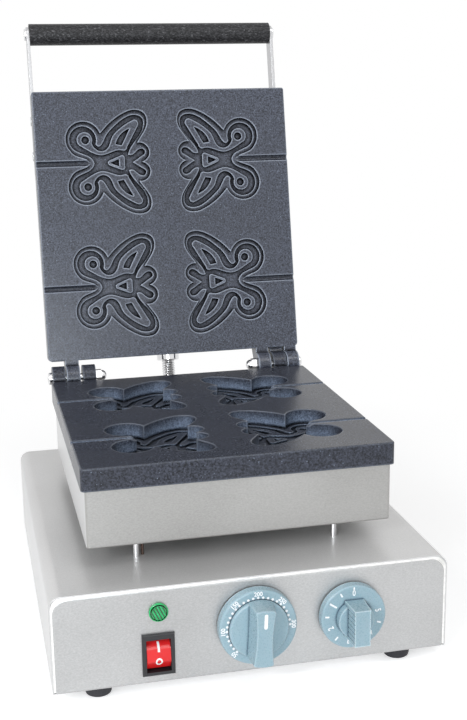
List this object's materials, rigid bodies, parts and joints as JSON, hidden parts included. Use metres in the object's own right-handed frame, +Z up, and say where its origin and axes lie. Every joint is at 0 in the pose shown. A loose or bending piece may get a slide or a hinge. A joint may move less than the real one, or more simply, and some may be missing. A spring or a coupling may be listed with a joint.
{
  "type": "butterfly waffle maker",
  "caption": "Countertop waffle maker: flat steel housing with dials, rocker switch and lamp, and above it hinged dark plates with butterfly moulds, the upper one on a long bar handle.",
  "frame": {"origin": "on the table, at the middle of the object's footprint with the lid open", "axes": "+Z up, front panel towards -Y, lid hinge along X"},
  "size_m": [0.272, 0.401, 0.4407],
  "materials": {
    "steel_cover": "brushed, satin",
    "steel_panel": "fine grained, satin",
    "steel_casing": "brushed, satin",
    "steel_plain": "plain sheet",
    "plate_coating": "cast aluminium with a dark non-stick coating",
    "element_sheath": "heat stained",
    "insulation": "mineral wool",
    "bright_metal": "polished",
    "zinc_screws": "zinc plated",
    "copper_bulb": "copper",
    "knob_plastic": "satin blue grey",
    "black_plastic": "satin black",
    "rocker_plastic": "glossy red",
    "lamp_plastic": "clear green",
    "grey_plastic": "plain",
    "foot_rubber": "matt black",
    "handle_plastic": "grained black",
    "conduit_metal": "bright flexible conduit"
  },
  "bodies": {
    "base": {"housing_cover": "steel_cover", "front_panel": "steel_panel", "rear_panel": "steel_panel", "housing_floor": "steel_plain", "floor_screws": "zinc_screws", "foot_1": "foot_rubber", "foot_2": "foot_rubber", "foot_3": "foot_rubber", "foot_4": "foot_rubber", "foot_screws": "zinc_screws", "posts": "bright_metal", "post_nuts": "zinc_screws", "lower_casing": "steel_casing", "lower_plate": "plate_coating", "lower_element": "element_sheath", "lower_shield": "steel_plain", "lower_insulation": "insulation", "lower_plate_bolts": "zinc_screws", "hinge_bolts": "bright_metal", "hinge_nuts": "bright_metal", "temperature_sensor": "copper_bulb", "sensor_clamp": "steel_plain", "clamp_screws": "zinc_screws", "wiring_sleeve": "grey_plastic", "thermostat_body": "grey_plastic", "thermostat_dial": "knob_plastic", "timer_body": "steel_plain", "control_screws": "zinc_screws", "switch_housing": "black_plastic", "switch_tabs": "copper_bulb", "lamp_housing": "lamp_plastic", "lamp_lens": "lamp_plastic", "lamp_nut": "black_plastic", "terminal_block": "grey_plastic", "terminal_screws": "zinc_screws", "inlet_gland": "black_plastic", "housing_gland": "bright_metal", "base_gland_nuts": "zinc_screws", "conduit_hose": "conduit_metal"},
    "lid": {"upper_casing": "steel_casing", "upper_plate": "plate_coating", "upper_element": "element_sheath", "upper_shield": "steel_plain", "upper_insulation": "insulation", "upper_plate_bolts": "zinc_screws", "lid_gland": "bright_metal", "lid_gland_nut": "zinc_screws", "handle_grip": "handle_plastic", "handle_rod": "steel_plain", "handle_arm_left": "steel_plain", "handle_arm_right": "steel_plain", "handle_screws": "bright_metal", "arm_screws": "zinc_screws"},
    "temperature_knob": {"thermostat_knob": "knob_plastic", "thermostat_shaft": "steel_plain"},
    "timer_dial": {"timer_knob": "knob_plastic", "timer_shaft": "steel_plain"},
    "power_rocker": {"switch_rocker": "rocker_plastic"}
  },
  "joints": [
    {"name": "lid_hinge", "type": "hinge", "parent": "base", "child": "lid", "pos_m": [0, 0.09752, 0.1497], "axis": [1, 0, 0], "range_deg": [0, 101.5], "deforming": ["conduit_hose"]},
    {"name": "temperature_turn", "type": "hinge", "parent": "base", "child": "temperature_knob", "pos_m": [0, -0.17448, 0.0431], "axis": [0, 1, 0], "range_deg": [-196, 82]},
    {"name": "timer_turn", "type": "hinge", "parent": "base", "child": "timer_dial", "pos_m": [0.0663, -0.17448, 0.0423], "axis": [0, 1, 0], "range_deg": [0, 280]},
    {"name": "rocker_tip", "type": "hinge", "parent": "base", "child": "power_rocker", "pos_m": [-0.066, -0.17198, 0.0283], "axis": [1, 0, 0], "range_deg": [0, 16]}
  ]
}
